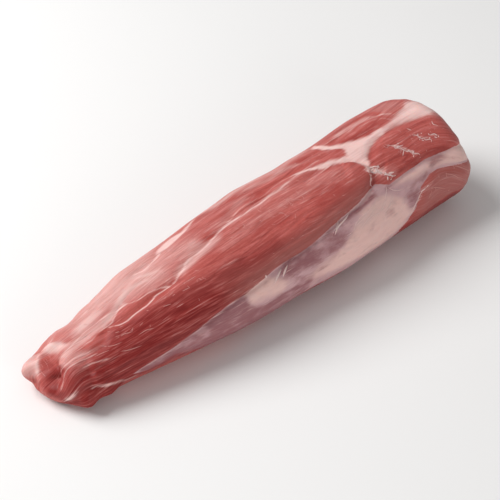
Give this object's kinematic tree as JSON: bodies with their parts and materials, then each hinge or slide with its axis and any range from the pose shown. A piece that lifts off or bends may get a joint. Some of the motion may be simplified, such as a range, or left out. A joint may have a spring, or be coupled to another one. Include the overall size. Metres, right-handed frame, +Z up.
{
  "type": "raw pork tenderloin",
  "caption": "Whole raw pork tenderloin, long and gently tapered from a thick lobed head to a folded tail, with a pale silverskin along one side, lying on its flat underside.",
  "frame": {"origin": "centre of the bounding box in plan, on the plane that the meat rests on", "axes": "+X along the meat, towards the thick head end; +Z up, through its flattened thickness; -Y is the side with the silverskin"},
  "size_m": [0.2674, 0.0738, 0.0505],
  "materials": {
    "raw_meat": null
  },
  "bodies": {
    "root": {"tenderloin": "raw_meat"}
  },
  "joints": []
}
